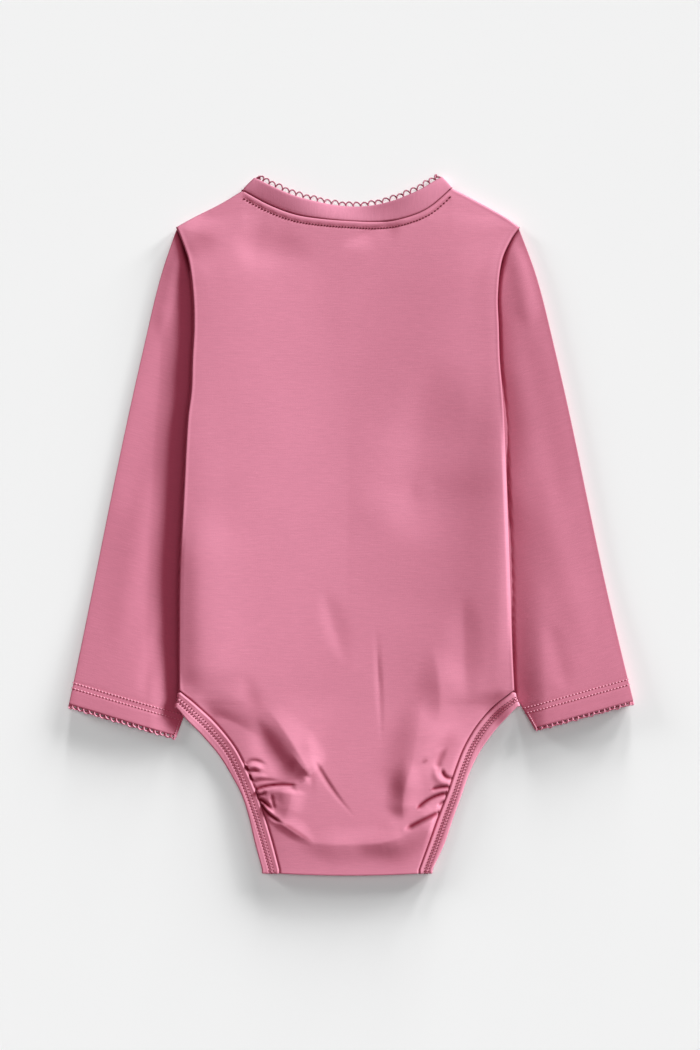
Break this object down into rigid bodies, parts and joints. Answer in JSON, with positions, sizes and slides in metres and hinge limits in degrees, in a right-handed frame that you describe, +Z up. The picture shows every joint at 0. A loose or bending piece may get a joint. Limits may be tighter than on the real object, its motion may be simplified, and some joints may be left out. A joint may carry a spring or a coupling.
{
  "type": "baby onesie",
  "caption": "Long-sleeved baby bodysuit in plain knit, laid flat with its back up, with picot-edged neck and cuffs and bound leg openings.",
  "frame": {"origin": "middle of the outline, on the surface that the garment lies on", "axes": "+X to the right of the back as seen from above (the wearer's right), +Y from crotch to neck, +Z up out of the back"},
  "size_m": [0.3508, 0.4356, 0.0097],
  "materials": {
    "jersey": "soft matt cotton knit",
    "binding": "soft matt cotton knit, folded binding",
    "picot": "looped cotton thread",
    "snap": "smooth satin cap"
  },
  "bodies": {
    "root": {"back_panel": "jersey", "front_panel": "jersey", "sleeve_left": "jersey", "sleeve_right": "jersey", "neckband": "binding", "leg_band_left": "binding", "leg_band_right": "binding", "picot_neck": "picot", "picot_cuff_left": "picot", "picot_cuff_right": "picot", "snap_1": "snap", "snap_2": "snap", "snap_3": "snap"}
  },
  "joints": []
}
